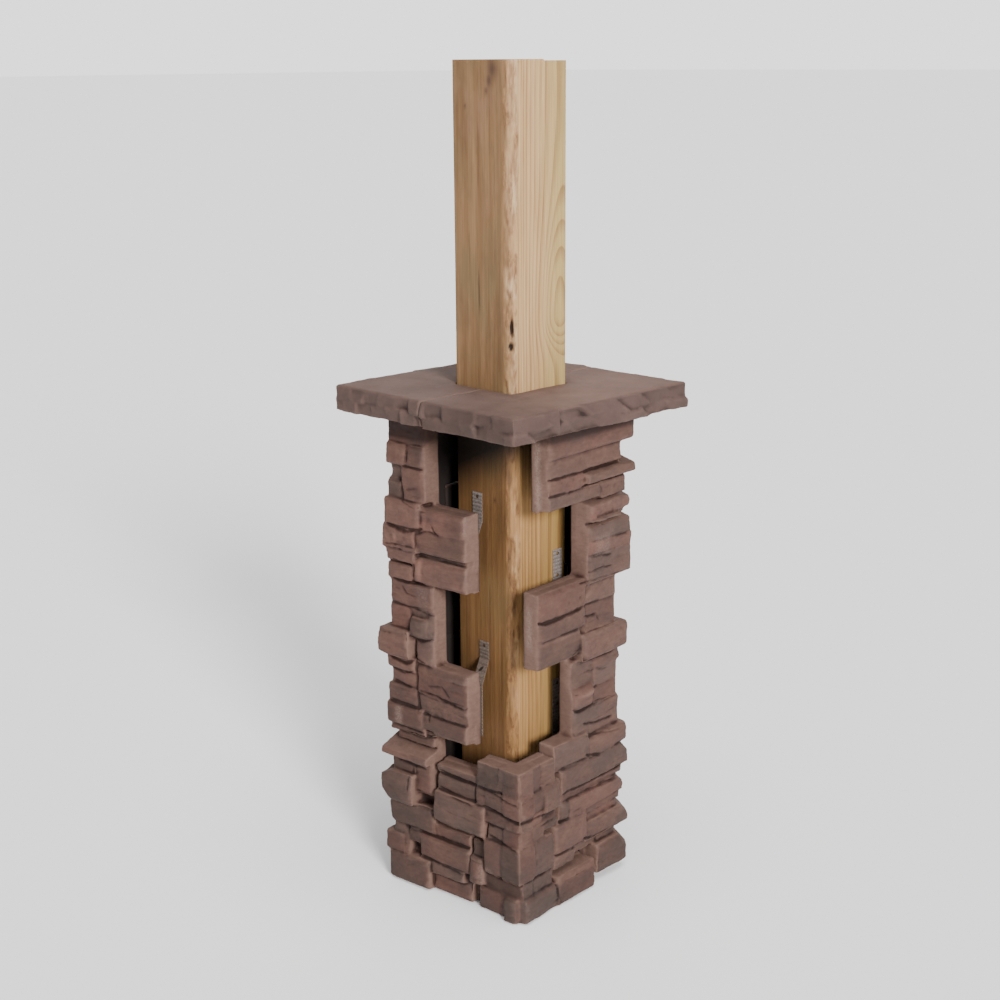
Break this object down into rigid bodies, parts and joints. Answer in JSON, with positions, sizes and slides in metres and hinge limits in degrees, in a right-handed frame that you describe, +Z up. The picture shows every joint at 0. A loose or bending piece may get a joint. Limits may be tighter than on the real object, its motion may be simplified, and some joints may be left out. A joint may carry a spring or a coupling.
{
  "type": "porch column wrap",
  "caption": "Interlocking stacked-stone corner panels round a square timber post, under a split square cap, with the front corner panel left short to show the wall ties",
  "frame": {"origin": "centre of the post's underside, on the ground", "axes": "+Z up along the post; the pictured left-hand face looks along -Y and the right-hand face along +X; the open corner is at +X -Y"},
  "size_m": [0.4572, 0.4572, 1.524],
  "materials": {
    "treated_pine": "rough sawn, dry, unpainted",
    "stone_foam": "moulded stone texture, matte brown-mauve coating",
    "cap_foam": "moulded stone texture, matte brown-grey coating",
    "galvanised_steel": "dull galvanised, corrugated"
  },
  "bodies": {
    "root": {"wood_post": "treated_pine", "panel_front_low": "stone_foam", "panel_left": "stone_foam", "panel_right": "stone_foam", "panel_back": "stone_foam", "cap_half_left": "cap_foam", "cap_half_right": "cap_foam", "tie_upper_left": "galvanised_steel", "tie_lower_left": "galvanised_steel", "tie_upper_right": "galvanised_steel", "tie_lower_right": "galvanised_steel"}
  },
  "joints": []
}
